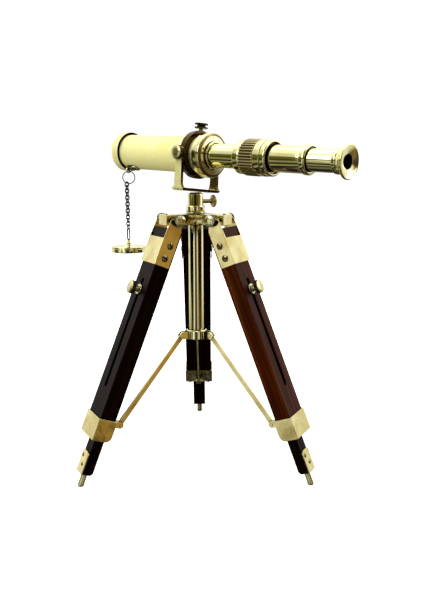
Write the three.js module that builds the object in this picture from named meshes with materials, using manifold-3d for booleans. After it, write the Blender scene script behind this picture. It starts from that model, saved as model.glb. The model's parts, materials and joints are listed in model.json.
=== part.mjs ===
// A brass draw telescope on a yoke, standing on a folding tripod with wooden legs.
//
// Millimetres, +Z up. The pieces are placed about the axis of the tripod's column, with the ground
// at zero, and the whole is then moved so that the origin is under the middle of its outline.
// Legs a, b and c stand at 210, 330 and 90 degrees. The telescope's own frame has its origin
// where the tilt axis crosses the tube, +X to the eyepiece, +Y to the far side and +Z up.
// A leg's own frame has its origin on its hinge, +X out of its outer face, +Y along the hinge
// and +Z up the leg, so that a station along the leg is a negative Z.

import * as THREE from "three";
import { mergeVertices } from "three/addons/utils/BufferGeometryUtils.js";
import Module from "manifold-3d";

const wasm = await Module();
wasm.setup();

// ---------------------------------------------------------------- driving dimensions

const GAP = 0.3; // between pieces that touch
const ROUND = 24; // sides of a large round piece
const SMALL_ROUND = 10; // sides of a small one

const LEGS = { a: 210, b: 330, c: 90 };
const SPLAY = 22.8; // a standing leg's lean from upright
const HINGE = { reach: 23.9, height: 219.6 };

// wooden upper leg: low and high along its own X, half width, first and last station
const WOOD = { inner: -8.2, outer: 5.9, half: 12.7, top: 8.5, bottom: 191.6, corner: 5 };
const GROOVE = { outer: 1.3, half: 6.4, top: 50 };
const SLOT = { half: 2.2, top: 53.6, bottom: 150 };
const SHEET = 0.9; // brass sheet of the straps
const STRAP = { top: 17.3, bottom: 40.2, plateInner: -6.6, tab: 3.1 };
const BAND = { top: 174.3, bottom: 192.8, corner: 5.5 };
const LOWER_LEG = { inner: -7.9, outer: 1, half: 6.1, top: 56.5, bottom: 225.2, corner: 3.5 };
const CLAMP = { station: 64, headRadius: 5.7, headNear: 11.4, headFar: 16, shaft: 1.8, tip: -3 };
const FOOT = { plateTop: 206, pin: 2.6, tip: 1.7 };
const BRACE = { station: 179.4, reach: -19.2, width: 4.2, thickness: 1.4, eye: 3, pin: 1.2 };
const HUB = { pinReach: 14.3, pinHeight: 117.5, outer: 9, low: 113.4, high: 121.6 };
const BOLT = { shaft: 1.9, drum: 4.9, drumNear: 14.5, drumFar: 18.2, face: 19.3, cap: 3.7 };
const BACK_BOLT = { shaft: 1.9, drum: 2.8, drumNear: 14.5, drumFar: 16.2, face: 16.8, cap: 2.3 }; // leg c's, lower

const CROWN = { low: 215.1, high: 224.1, half: 7.5, reach: 31.5, hub: 9.6 };
const COLUMN = { radius: 6.4, bottom: 113.8 };
const SLEEVE = { low: 8.1, step: 231, high: 6.7, top: 241.2 };
const POST = { radius: 4.6, bottom: 226 };
const POST_SCREW = { azimuth: 30, height: 234.2, shaft: 1.7, shaftTip: 5.4, headNear: 16.8, head: 5.4 };

const PAN = -42.2; // azimuth of the eyepiece end
const LEAN = 5; // the yoke sits a little out of square on its post
const TILT = 2.56; // the eyepiece end hangs this much below level
const YOKE = { base: 242.7, rise: 30.7, inner: 20.4, arm: 3, top: 3.45, mid: 4, foot: 6.2, floor: 2.2 };
const YOKE_OFFSET = 1.1; // from the pan axis towards the eyepiece
const KNOB = { radius: 5.7, face: 5, length: 4.2, shaft: 1.9 };
const RIDGES = 14; // round a knurled head

// stations along the telescope from the tilt axis
const BARREL = { front: -88.9, back: 12.5, radius: 15.4, bore: 14 };
const BEZEL = { front: -94.5, back: -85.6, radius: 17.6, mouth: 16.9, lip: 13.2, recess: 1.8 };
const SADDLE = { half: 3, radius: 20, screwed: 17 }; // screwed is how deep its screws reach
const CAP = { front: 9.5, shoulder: 16.7, face: 17.7, collar: 20, radius: 18.5, faceEdge: 15, collarEdge: 11.8 };
const DRAW_1 = { front: -18, back: 49.5, radius: 9.6, bore: 8.9 };
const GRIP = { front: 47.9, knurl: 55.2, ring: 68.9, back: 75.7, ringRadius: 13.6, radius: 14.5, ribs: 28 };
const FOCUS = { front: 76.1, back: 80.8, radius: 14, mouth: 12.2 };
const DRAW_2 = { front: 60, back: 109.6, radius: 10.35, bore: 9.4 };
const COLLAR = { front: 109.9, back: 114.9, radius: 11.3, lip: 9.9 };
const DRAW_3 = { front: 93, back: 138, radius: 8.5, bore: 7.7 };
const EYEPIECE = { front: 136.5, neck: 140, rim: 145, back: 146.9, bead: 9.4, radius: 12.7, hole: 5.5 };
const BAND_SCREW = { shaft: 1.9, low: 21.6, high: 26.2, radius: 5.6, shift: 0.8 };

// what hangs under the objective
const BRACKET = { station: -75, drop: 22 }; // drop is the turn from straight down to the near side
const EYE = { station: -80.5, drop: 18.4, radius: 2.5, wire: 0.6 };
const SPLIT_RING = { radius: 5.6, wire: 0.5 };
const CHAIN = { half: 1.7, hookTurn: 21, capShift: 1.6 };
const DUST_CAP = { radius: 16.6, wall: 1.4, low: 184.6, rim: 190.2, stem: 1.9, top: 195.4 };

// ---------------------------------------------------------------- finishes

const finish = (color, roughness, metalness) =>
  new THREE.MeshStandardMaterial({ color, roughness, metalness });
const BRASS = finish(0xd9c36a, 0.18, 1);
const KNURLED_BRASS = finish(0xa88e4e, 0.38, 1);
const DARK_STEEL = finish(0x3a3a34, 0.4, 1);
const MAHOGANY = finish(0x4a1d0c, 0.45, 0);
const DARK_WOOD = finish(0x24120a, 0.45, 0);
const GLASS = finish(0xcfe0e6, 0.05, 0);

// ---------------------------------------------------------------- solids

const radians = THREE.MathUtils.degToRad;

// A closed geometry as a manifold-3d solid.
function solid(geometry) {
  const bare = geometry.index ? geometry.toNonIndexed() : geometry.clone();
  bare.deleteAttribute("normal");
  bare.deleteAttribute("uv");
  const merged = mergeVertices(bare, 1e-4);
  const index = merged.index.array;
  const triangles = [];
  for (let i = 0; i < index.length; i += 3) {
    const [p, q, r] = index.slice(i, i + 3);
    if (p !== q && q !== r && r !== p) triangles.push(p, q, r);
  }
  const made = new wasm.Manifold(
    new wasm.Mesh({
      numProp: 3,
      vertProperties: Float32Array.from(merged.attributes.position.array),
      triVerts: Uint32Array.from(triangles),
    }),
  );
  return made;
}

// A manifold-3d solid as a geometry.
function geometryOf(made) {
  const { numProp, numVert, vertProperties, triVerts } = made.getMesh();
  const points = new Float32Array(numVert * 3);
  for (let i = 0; i < numVert; i++) {
    points.set(vertProperties.subarray(i * numProp, i * numProp + 3), i * 3);
  }
  const geometry = new THREE.BufferGeometry();
  geometry.setAttribute("position", new THREE.BufferAttribute(points, 3));
  geometry.setIndex(new THREE.BufferAttribute(triVerts, 1));
  geometry.computeVertexNormals();
  return geometry;
}

const joined = (...geometries) => geometryOf(geometries.map(solid).reduce((all, one) => all.add(one)));

const cut = (body, ...tools) =>
  geometryOf(tools.map(solid).reduce((left, tool) => left.subtract(tool), solid(body)));

const shared = (one, other) => geometryOf(solid(one).intersect(solid(other)));

// A ring or a turned body about Z, from [radius, height] points in either order round the profile.
function turned(profile, sides = ROUND) {
  const points = profile.map(([r, z]) => new THREE.Vector2(r, z));
  const area = points.reduce((sum, p, i) => {
    const q = points[(i + 1) % points.length];
    return sum + p.x * q.y - q.x * p.y;
  }, 0);
  if (area < 0) points.reverse();
  const closed = points[0].x > 0 || points[points.length - 1].x > 0;
  if (closed) points.push(points[0].clone());
  return new THREE.LatheGeometry(points, sides).rotateX(Math.PI / 2);
}

const tube = (outer, inner, low, high, sides = ROUND) =>
  turned([[outer, low], [outer, high], [inner, high], [inner, low]], sides);

const rod = (radius, low, high, sides = SMALL_ROUND) =>
  turned([[0, low], [radius, low], [radius, high], [0, high]], sides);

// A box from its low and high corners.
function block([x0, y0, z0], [x1, y1, z1]) {
  const box = new THREE.BoxGeometry(x1 - x0, y1 - y0, z1 - z0);
  return box.translate((x0 + x1) / 2, (y0 + y1) / 2, (z0 + z1) / 2);
}

// A flat outline in X and Z, carried from one Y to another.
function slab(shape, low, high) {
  const made = new THREE.ExtrudeGeometry(shape, { depth: high - low, bevelEnabled: false, curveSegments: 4 });
  return made.rotateX(Math.PI / 2).translate(0, high, 0);
}

// A rectangle in X and Z with one corner rounded: the one at low X and low Z.
function corneredOutline(x0, x1, z0, z1, radius) {
  const shape = new THREE.Shape();
  shape.moveTo(x0 + radius, z0);
  shape.lineTo(x1, z0);
  shape.lineTo(x1, z1);
  shape.lineTo(x0, z1);
  shape.lineTo(x0, z0 + radius);
  shape.absarc(x0 + radius, z0 + radius, radius, Math.PI, 1.5 * Math.PI, false);
  return shape;
}

// A strip with round ends between two points in X and Z.
function linkOutline(x0, z0, x1, z1, radius) {
  const along = Math.atan2(z1 - z0, x1 - x0);
  const shape = new THREE.Shape();
  shape.absarc(x0, z0, radius, along + Math.PI / 2, along + 1.5 * Math.PI, false);
  shape.absarc(x1, z1, radius, along - Math.PI / 2, along + Math.PI / 2, false);
  return shape;
}

// A disc about Z whose edge carries ridges.
function ridged(radius, depth, ridges, low, high) {
  const shape = new THREE.Shape();
  for (let i = 0; i < 2 * ridges; i++) {
    const reach = i % 2 ? radius - depth : radius;
    const turn = (i * Math.PI) / ridges;
    const step = [reach * Math.cos(turn), reach * Math.sin(turn)];
    if (i) shape.lineTo(...step);
    else shape.moveTo(...step);
  }
  shape.closePath();
  return new THREE.ExtrudeGeometry(shape, { depth: high - low, bevelEnabled: false }).translate(0, 0, low);
}

const alongX = (geometry) => geometry.rotateY(Math.PI / 2);
const alongY = (geometry) => geometry.rotateX(-Math.PI / 2);

function mesh(name, geometry, material) {
  const made = new THREE.Mesh(geometry, material);
  made.name = name;
  return made;
}

// ---------------------------------------------------------------- telescope

function barrel() {
  const { front, back, radius, bore } = BARREL;
  return mesh("barrel", alongX(tube(radius, bore, front, back)), BRASS);
}

// The bezel is a ring over the front of the barrel with a lip that holds the lens.
// Its mouth takes the dust cap, and its rear edge stands free of the barrel.
function objectiveBezel() {
  const { front, back, radius, mouth, lip, recess } = BEZEL;
  const sleeve = BARREL.radius + GAP;
  const stop = BARREL.front - GAP;
  const profile = [
    [radius - 0.4, front],
    [radius, front + 0.8],
    [radius, back],
    [mouth + 0.2, back],
    [mouth, back - recess],
    [sleeve, back - recess],
    [sleeve, stop],
    [lip, stop],
    [lip, stop - 1.2],
    [mouth, stop - 1.2],
    [mouth, front],
  ];
  return mesh("objective_bezel", alongX(turned(profile)), BRASS);
}

function objectiveLens() {
  const front = BARREL.front + 1;
  const profile = [[0, front - 0.9], [7, front - 0.6], [13.6, front], [13.6, front + 3], [0, front + 3.4]];
  return mesh("objective_lens", alongX(turned(profile)), GLASS);
}

function saddleBand() {
  const { half, radius } = SADDLE;
  const band = alongX(tube(radius, BARREL.radius + GAP, -half, half));
  const pivotBore = alongY(rod(KNOB.shaft + GAP, -radius - 1, radius + 1));
  const screwBore = rod(BAND_SCREW.shaft + GAP, BARREL.radius, radius + 1).translate(BAND_SCREW.shift, 0, 0);
  return mesh("saddle_band", cut(band, pivotBore, screwBore), BRASS);
}

function rearCap() {
  const { front, shoulder, face, collar, radius, faceEdge, collarEdge } = CAP;
  const bore = DRAW_1.radius + GAP;
  const profile = [
    [radius, front],
    [radius, shoulder],
    [faceEdge, face],
    [collarEdge, face],
    [collarEdge - 0.8, collar],
    [bore, collar],
    [bore, BARREL.back + GAP],
    [BARREL.radius + GAP, BARREL.back + GAP],
    [BARREL.radius + GAP, front],
  ];
  return mesh("rear_cap", alongX(turned(profile)), BRASS);
}

function drawTube1() {
  const { front, back, radius, bore } = DRAW_1;
  const guide = BARREL.bore - GAP;
  const profile = [
    [guide, front],
    [guide, front + 5],
    [radius, front + 5],
    [radius, back],
    [bore, back],
    [bore, front],
  ];
  return mesh("draw_tube_1", alongX(turned(profile)), BRASS);
}

// The lens that turns the picture upright.
function erectorLens() {
  const front = DRAW_1.front + 1;
  const edge = DRAW_1.bore - GAP;
  const profile = [[0, front - 0.5], [edge, front], [edge, front + 3], [0, front + 3.5]];
  return mesh("erector_lens", alongX(turned(profile, 20)), GLASS);
}

// The grip: a smooth ring, a ribbed drum and a second ring, which turn on the first draw tube.
function focusGrip() {
  const { front, knurl, ring, back, ringRadius, radius, ribs } = GRIP;
  const bore = DRAW_1.radius + GAP;
  const inside = DRAW_2.radius + GAP;
  const step = DRAW_1.back + GAP;
  const core = turned([
    [ringRadius - 0.7, front],
    [ringRadius, front + 0.7],
    [ringRadius, knurl - 0.6],
    [radius - 0.9, knurl + 0.4],
    [radius - 0.9, ring - 0.4],
    [radius - 0.2, ring + 0.2],
    [radius - 0.2, back],
    [inside, back],
    [inside, step],
    [bore, step],
    [bore, front],
  ]);
  const hollow = rod(radius - 2, knurl - 1, ring + 1, ROUND);
  const drum = cut(ridged(radius, 0.7, ribs, knurl + 0.2, ring - 0.2), hollow);
  return mesh("focus_grip", alongX(joined(core, drum)), KNURLED_BRASS);
}

function focusRing() {
  const { front, back, radius, mouth } = FOCUS;
  const bore = DRAW_2.radius + GAP;
  const profile = [
    [radius, front],
    [radius, back - 0.8],
    [radius - 0.8, back],
    [mouth, back],
    [mouth - 0.4, back - 2.6],
    [bore, back - 2.6],
    [bore, front],
  ];
  return mesh("focus_ring", alongX(turned(profile)), BRASS);
}

function drawTube2() {
  const { front, back, radius, bore } = DRAW_2;
  return mesh("draw_tube_2", alongX(tube(radius, bore, front, back)), BRASS);
}

function fieldLens() {
  const front = DRAW_2.front + 2;
  const edge = DRAW_2.bore - GAP;
  const profile = [[0, front - 0.6], [edge, front], [edge, front + 2.4], [0, front + 3]];
  return mesh("field_lens", alongX(turned(profile, 20)), GLASS);
}

function drawCollar() {
  const { front, back, radius, lip } = COLLAR;
  const bore = DRAW_3.radius + GAP;
  const profile = [
    [radius - 0.5, front],
    [radius, front + 0.5],
    [radius, back - 0.7],
    [radius - 0.7, back],
    [lip, back],
    [lip, back - 0.8],
    [bore, back - 0.8],
    [bore, front],
  ];
  return mesh("draw_collar", alongX(turned(profile)), BRASS);
}

function drawTube3() {
  const { front, back, radius, bore } = DRAW_3;
  const guide = DRAW_2.bore - GAP;
  const profile = [
    [guide, front],
    [guide, front + 4],
    [radius, front + 4],
    [radius, back],
    [bore, back],
    [bore, front],
  ];
  return mesh("draw_tube_3", alongX(turned(profile)), BRASS);
}

// The eyepiece: a bead, a neck and a flared rim with a funnel down to the eye hole.
function eyepieceCup() {
  const { front, neck, rim, back, bead, radius, hole } = EYEPIECE;
  const sleeve = DRAW_3.radius + GAP;
  const profile = [
    [bead - 0.4, front],
    [bead, front + 0.8],
    [bead, neck - 0.8],
    [bead - 0.6, neck],
    [bead + 0.5, neck + 2],
    [radius - 0.9, rim - 0.9],
    [radius, rim],
    [radius, back - 0.5],
    [radius - 0.7, back],
    [hole, back - 1.6],
    [hole, DRAW_3.back + GAP],
    [sleeve, DRAW_3.back + GAP],
    [sleeve, front],
  ];
  return mesh("eyepiece_cup", alongX(turned(profile)), BRASS);
}

function eyeLens() {
  const back = DRAW_3.back - 0.6;
  const edge = DRAW_3.bore - GAP;
  const profile = [[0, back - 3.4], [edge, back - 2.8], [edge, back - 0.4], [0, back]];
  return mesh("eye_lens", alongX(turned(profile, 20)), GLASS);
}

// A thumb screw stands on the band, its head two thin ridged discs.
function bandScrew() {
  const { shaft, low, high, radius, shift } = BAND_SCREW;
  const third = (high - low) / 3;
  const body = joined(
    rod(shaft, SADDLE.screwed, high - 0.5),
    ridged(radius, 0.4, RIDGES, low, low + third),
    rod(radius - 1.4, low + third - 0.1, high - third + 0.1),
    ridged(radius, 0.4, RIDGES, high - third, high),
  );
  return mesh("band_screw", body.translate(shift, 0, 0), KNURLED_BRASS);
}

// A tab soldered under the barrel ends in an upright eye.
function chainBracket() {
  const { station, drop } = BRACKET;
  const rest = BARREL.radius + GAP;
  const tab = cut(
    block([station - 5.5, -3.4, -rest - 1.1], [station + 5.5, 3.4, -rest + 1]),
    alongX(rod(rest, station - 8, station + 8, ROUND)),
  );
  const stalk = block(
    [EYE.station - EYE.wire, -EYE.wire, -EYE.drop + EYE.radius - 0.5],
    [EYE.station + EYE.wire, EYE.wire, -rest - 0.3],
  );
  const eye = new THREE.TorusGeometry(EYE.radius, EYE.wire, 6, 14).rotateY(Math.PI / 2);
  const body = joined(tab, stalk, eye.translate(EYE.station, 0, -EYE.drop));
  return mesh("chain_bracket", body.rotateX(radians(-drop)), BRASS);
}

// ---------------------------------------------------------------- what hangs

function splitRing() {
  const { radius, wire } = SPLIT_RING;
  return mesh("split_ring", new THREE.TorusGeometry(radius, wire, 6, 24), DARK_STEEL);
}

// The chain is one slim square bar here, as long and as thick as the chain.
function chain(length) {
  return mesh("chain", block([-CHAIN.half, -CHAIN.half, -length], [CHAIN.half, CHAIN.half, 0]), DARK_STEEL);
}

function dustCap() {
  const { radius, wall, low, rim, stem, top } = DUST_CAP;
  const profile = [
    [0, rim - 2],
    [radius - wall, rim - 2],
    [radius - wall, low],
    [radius - 0.6, low],
    [radius, low + 0.6],
    [radius, rim - 0.5],
    [radius - 0.8, rim],
    [radius - 1.8, rim - 0.6],
    [4.6, rim - 0.6],
    [3.6, rim + 0.5],
    [stem, rim + 1.2],
    [stem, rim + 2.4],
    [stem + 0.9, rim + 3.2],
    [stem + 0.6, top - 1],
    [0.8, top],
    [0, top],
  ];
  return mesh("dust_cap", turned(profile), BRASS);
}

// ---------------------------------------------------------------- yoke and post

// One arm of the yoke seen along Y: it tapers up from a flared foot to a round top.
function armOutline() {
  const { rise, top, mid, foot, floor } = YOKE;
  const shape = new THREE.Shape();
  shape.moveTo(-foot, -rise);
  shape.lineTo(foot, -rise);
  shape.lineTo(foot, -rise + floor);
  shape.quadraticCurveTo(mid, -rise + floor + 0.6, mid, -rise + floor + 4.5);
  shape.lineTo(top, -6);
  shape.absarc(0, 0, KNOB.face, -0.76, Math.PI + 0.76, false);
  shape.lineTo(-mid, -rise + floor + 4.5);
  shape.quadraticCurveTo(-mid, -rise + floor + 0.6, -foot, -rise + floor);
  return shape;
}

function yoke() {
  const { rise, inner, arm, foot, floor } = YOKE;
  const outer = inner + arm;
  const fillet = 3;
  const bend = new THREE.Shape();
  bend.moveTo(inner + 0.1, -rise + floor - 0.1);
  bend.lineTo(inner - fillet, -rise + floor - 0.1);
  bend.absarc(inner - fillet, -rise + floor + fillet, fillet, -Math.PI / 2, 0, false);
  bend.lineTo(inner + 0.1, -rise + floor + fillet);
  const corner = new THREE.ExtrudeGeometry(bend, { depth: 2 * YOKE.mid, bevelEnabled: false, curveSegments: 4 });
  corner.rotateX(Math.PI / 2).rotateZ(Math.PI / 2).translate(-YOKE.mid, 0, 0);
  const otherCorner = corner.clone().rotateZ(Math.PI);
  const body = joined(
    block([-foot, -outer + 1.6, -rise], [foot, outer - 1.6, -rise + floor]),
    slab(armOutline(), inner, outer),
    slab(armOutline(), -outer, -inner),
    corner,
    otherCorner,
  );
  const pivot = alongY(rod(KNOB.shaft + GAP, -outer - 1, outer + 1));
  const socket = rod(3 + GAP, -rise - 1, -rise + floor + 3, 16).translate(-YOKE_OFFSET, 0, 0);
  const bevels = [-1, 1].map((side) => {
    const wedge = block([-foot - 1, -3, -3], [foot + 1, 3, 3]).rotateX(Math.PI / 4);
    return wedge.translate(0, side * (outer + 2.6), -rise - 0.2);
  });
  return mesh("yoke", cut(body, pivot, socket, ...bevels), BRASS);
}

// A pivot knob: a screw through a yoke arm into the band, with a ridged head.
function pivotKnob(name, side) {
  const outer = YOKE.inner + YOKE.arm + GAP;
  const { radius, face, length, shaft } = KNOB;
  const head = joined(
    rod(shaft, SADDLE.screwed, outer + 1),
    ridged(radius, 0.5, RIDGES, outer, outer + length - 0.9),
    turned([
      [0, outer + 0.5],
      [face, outer + 0.5],
      [face, outer + length - 0.3],
      [face - 0.5, outer + length],
      [0, outer + length],
    ]),
  );
  return mesh(name, alongY(head).rotateZ(side > 0 ? 0 : Math.PI), KNURLED_BRASS);
}

// The post stands in the sleeve; its top spigot passes through the yoke's base.
function post() {
  const { radius, bottom } = POST;
  const neck = SLEEVE.top + GAP;
  const profile = [
    [0, bottom],
    [radius - 0.6, bottom],
    [radius, bottom + 0.6],
    [radius, neck],
    [radius + 0.5, neck],
    [radius + 0.5, neck + 0.5],
    [0, neck + 0.5],
  ];
  return mesh("post", turned(profile, 20), BRASS);
}

// The rivet that joins the yoke to the post is peened flush with the yoke's base.
function postRivet() {
  const { rise, floor } = YOKE;
  return mesh("post_rivet", rod(3, -rise, -rise + floor, 16).translate(-YOKE_OFFSET, 0, 0), BRASS);
}

function postSleeve() {
  const { low, step, high, top } = SLEEVE;
  const floor = CROWN.high + GAP;
  const bore = POST.radius + GAP;
  const wall = turned([
    [low, floor],
    [low, step - 0.7],
    [low - 0.6, step],
    [high, step],
    [high, top - 0.6],
    [high - 0.6, top],
    [bore, top],
    [bore, floor],
  ]);
  const hole = alongX(rod(POST_SCREW.shaft + GAP, 0, low + 4)).rotateZ(radians(POST_SCREW.azimuth));
  return mesh("post_sleeve", cut(wall, hole.translate(0, 0, POST_SCREW.height)), BRASS);
}

// The side screw that clamps the post: a plain shank with a dished head.
function postScrew() {
  const { azimuth, height, shaft, shaftTip, headNear, head } = POST_SCREW;
  const profile = [
    [0, shaftTip],
    [shaft, shaftTip],
    [shaft, headNear - 1.4],
    [2.6, headNear - 0.4],
    [head - 0.5, headNear],
    [head, headNear + 0.8],
    [head - 0.6, headNear + 1.9],
    [2.4, headNear + 2.7],
    [0, headNear + 2.9],
  ];
  const made = mesh("post_screw", alongX(turned(profile, 20)), BRASS);
  made.rotation.z = radians(azimuth);
  made.position.z = height;
  return made;
}

// ---------------------------------------------------------------- tripod head

function crown() {
  const { low, high, half, reach, hub } = CROWN;
  const parts = [
    turned([[0, low], [hub, low], [hub, high - 1.2], [hub - 1.2, high], [0, high]]),
  ];
  for (const azimuth of Object.values(LEGS)) {
    const arm = corneredOutline(-reach, 0, low, high, 0.01);
    const body = slab(arm, -half, half).rotateZ(Math.PI);
    const button = rod(1.3, high - 0.2, high + 0.7, 12).translate(reach - 3.2, 0, 0);
    parts.push(joined(body, button).rotateZ(radians(azimuth)));
  }
  const bores = Object.values(LEGS).map((azimuth) =>
    alongY(rod(BOLT.shaft + GAP, -half - 1, half + 1))
      .translate(HINGE.reach, 0, HINGE.height)
      .rotateZ(radians(azimuth)),
  );
  return mesh("crown", cut(joined(...parts), ...bores), BRASS);
}

function column() {
  const { radius, bottom } = COLUMN;
  const top = CROWN.low - GAP;
  const profile = [[0, bottom], [radius - 0.6, bottom], [radius, bottom + 0.6], [radius, top], [0, top]];
  return mesh("column", turned(profile, 24), BRASS);
}

// The hub rides on the column; two cheeks stand beside each brace's end.
function spreaderHub() {
  const { pinReach, pinHeight, outer, low, high } = HUB;
  const cheek = linkOutline(outer - 2, pinHeight, pinReach, pinHeight, 3.4);
  const inner = BRACE.thickness / 2 + GAP;
  const cheeks = [];
  for (const azimuth of Object.values(LEGS)) {
    for (const side of [-1, 1]) {
      const plate = side > 0 ? slab(cheek, inner, inner + 1.5) : slab(cheek, -inner - 1.5, -inner);
      const rivet = alongY(rod(1.7, inner + 1.2, inner + 2.1, 12)).rotateZ(side > 0 ? 0 : Math.PI);
      const lug = joined(plate, rivet.translate(pinReach, 0, pinHeight));
      cheeks.push(lug.rotateZ(radians(azimuth)));
    }
  }
  const ring = turned([
    [0, low],
    [outer - 0.6, low],
    [outer, low + 0.6],
    [outer, high - 0.6],
    [outer - 0.6, high],
    [0, high],
  ]);
  const bore = rod(COLUMN.radius + GAP, low - 5, high + 5, 24);
  return mesh("spreader_hub", cut(joined(ring, ...cheeks), bore), BRASS);
}

// ---------------------------------------------------------------- legs

// A wooden rail with a groove for the lower leg, open to the inside, and a slot for the clamp screw.
function upperLeg(letter) {
  const { inner, outer, half, top, bottom, corner } = WOOD;
  const body = slab(corneredOutline(inner, outer, -bottom, -top, corner), -half, half);
  const groove = block([inner - 1, -GROOVE.half, -bottom - 5], [GROOVE.outer, GROOVE.half, -GROOVE.top]);
  const slotEnds = linkOutline(0, -SLOT.bottom + SLOT.half, 0, -SLOT.top - SLOT.half, SLOT.half);
  const slot = slab(slotEnds, GROOVE.outer - 2, outer + 2).rotateZ(-Math.PI / 2);
  const bore = alongY(rod(BOLT.shaft + GAP, -half - 1, half + 1));
  return mesh("upper_leg_" + letter, cut(body, groove, slot, bore), letter === "b" ? MAHOGANY : DARK_WOOD);
}

// The strap goes over the outer face, and its two cheeks run up to the hinge bolt.
function legBracket(letter) {
  const strapFar = WOOD.outer + GAP + SHEET;
  const inside = WOOD.half + GAP;
  const { top, bottom, plateInner, tab } = STRAP;
  const cheek = new THREE.Shape();
  cheek.moveTo(plateInner, -bottom);
  cheek.lineTo(strapFar, -bottom);
  cheek.lineTo(strapFar, -top);
  cheek.lineTo(strapFar - 0.9, -2);
  cheek.absarc(0, 0, tab, 0.4, Math.PI - 0.6, false);
  cheek.lineTo(plateInner, -8);
  const strap = block(
    [WOOD.outer + GAP, -inside - SHEET, -bottom],
    [strapFar, inside + SHEET, -top],
  );
  const body = joined(strap, slab(cheek, inside, inside + SHEET), slab(cheek, -inside - SHEET, -inside));
  const bore = alongY(rod(BOLT.shaft + GAP, -inside - 3, inside + 3));
  return mesh("leg_bracket_" + letter, cut(body, bore), BRASS);
}

// The hinge bolt has a knurled head at one end; the nut at its other end looks the same.
function boltHead({ drum, drumNear, drumFar, face, cap }) {
  return joined(
    ridged(drum, 0.45, RIDGES, drumNear, drumFar),
    turned([[0, drumFar - 0.3], [cap, drumFar - 0.3], [cap - 0.3, face - 0.5], [cap - 1.5, face], [0, face]], 16),
  );
}

const boltOf = (letter) => (letter === "c" ? BACK_BOLT : BOLT);

function hingeBolt(letter) {
  const bolt = boltOf(letter);
  const body = joined(rod(bolt.shaft, -bolt.drumNear - 0.6, bolt.drumNear + 1), boltHead(bolt));
  return mesh("hinge_bolt_" + letter, alongY(body), KNURLED_BRASS);
}

function hingeNut(letter) {
  const bolt = boltOf(letter);
  const bore = rod(bolt.shaft + GAP, bolt.drumNear - 1, bolt.drumNear + 0.9);
  return mesh("hinge_nut_" + letter, alongY(cut(boltHead(bolt), bore)).rotateZ(Math.PI), KNURLED_BRASS);
}

// The band round the foot of the upper leg, with the two ears that hold the brace.
function lowerBand(letter) {
  const { top, bottom, corner } = BAND;
  const inner = WOOD.inner - GAP;
  const outer = WOOD.outer + GAP;
  const half = WOOD.half + GAP;
  const outline = corneredOutline(inner - SHEET, outer + SHEET, -bottom, -top, corner);
  const skin = slab(outline, -half - SHEET, half + SHEET);
  const core = slab(corneredOutline(inner, outer, -bottom - 9, -top + 9, 0.01), -half, half);
  const pad = block([inner - SHEET - 0.8, -4.6, -186.4], [inner - SHEET + 0.3, 4.6, -175]);
  const { station, reach, eye, pin, thickness } = BRACE;
  const side = thickness / 2 + GAP;
  const ear = linkOutline(inner - SHEET - 0.3, -station, reach, -station, eye);
  const cheeks = [slab(ear, side, side + 1.2), slab(ear, -side - 1.2, -side)];
  const shaft = alongY(rod(pin, -side - 1.9, side + 1.9, 12)).translate(reach, 0, -station);
  const shell = cut(skin, core);
  const ears = cut(joined(pad, ...cheeks), core);
  return mesh("lower_band_" + letter, joined(shell, ears, shaft), BRASS);
}

function lowerLeg(letter) {
  const { inner, outer, half, top, bottom, corner } = LOWER_LEG;
  const body = slab(corneredOutline(inner, outer, -bottom, -top, corner), -half, half);
  const screwHole = alongX(rod(CLAMP.shaft + GAP, CLAMP.tip - 1, outer + 2)).translate(0, 0, -CLAMP.station);
  const pinHole = rod(FOOT.pin + GAP, -bottom - 1, -bottom + 8.3).translate((inner + outer) / 2, 0, 0);
  return mesh("lower_leg_" + letter, cut(body, screwHole, pinHole), DARK_WOOD);
}

// The clamp screw goes through the slot into the lower leg; a washer bears on the wood.
function clampScrew(letter) {
  const { station, headRadius, headNear, headFar, shaft, tip } = CLAMP;
  const rest = WOOD.outer + GAP;
  const body = joined(
    rod(shaft, tip, headNear + 1),
    rod(4.6, rest, rest + 0.9, 16),
    rod(2.6, rest + 0.8, headNear + 0.2, 12),
    ridged(headRadius, 0.5, RIDGES, headNear, headFar - 0.9),
    turned([[0, headNear + 1], [4.9, headNear + 1], [4.9, headFar - 0.4], [4.4, headFar], [0, headFar]], 20),
  );
  return mesh("clamp_screw_" + letter, alongX(body).translate(0, 0, -station), KNURLED_BRASS);
}

// A brass plate is screwed on the outer face of the lower leg's foot.
function footPlate(letter) {
  const { outer, half, bottom } = LOWER_LEG;
  const shape = new THREE.Shape();
  const low = -bottom;
  const high = -FOOT.plateTop;
  const round = 3;
  shape.moveTo(-half, low);
  shape.lineTo(half, low);
  shape.lineTo(half, high - round);
  shape.absarc(half - round, high - round, round, 0, Math.PI / 2, false);
  shape.absarc(-half + round, high - round, round, Math.PI / 2, Math.PI, false);
  const plate = slab(shape, outer + GAP, outer + GAP + SHEET).rotateZ(-Math.PI / 2);
  return mesh("foot_plate_" + letter, plate, BRASS);
}

// The foot pin ends in a flat ground level, which rests on the floor while the leg is splayed.
function footPin(letter, place) {
  const { bottom, inner, outer } = LOWER_LEG;
  const { pin, tip } = FOOT;
  const middle = (inner + outer) / 2;
  const end = -bottom - 12.4;
  const profile = [
    [0, -bottom + 8],
    [pin, -bottom + 8],
    [pin, end + 2],
    [tip, end],
    [0, end],
  ];
  const made = mesh("foot_pin_" + letter, turned(profile, 24).translate(middle, 0, 0), BRASS);
  place.add(made);
  made.updateWorldMatrix(true, false);
  const world = made.geometry.clone().applyMatrix4(made.matrixWorld);
  const above = shared(world, block([-300, -300, 0], [300, 300, 300]));
  made.geometry = above.applyMatrix4(made.matrixWorld.clone().invert());
}

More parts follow.
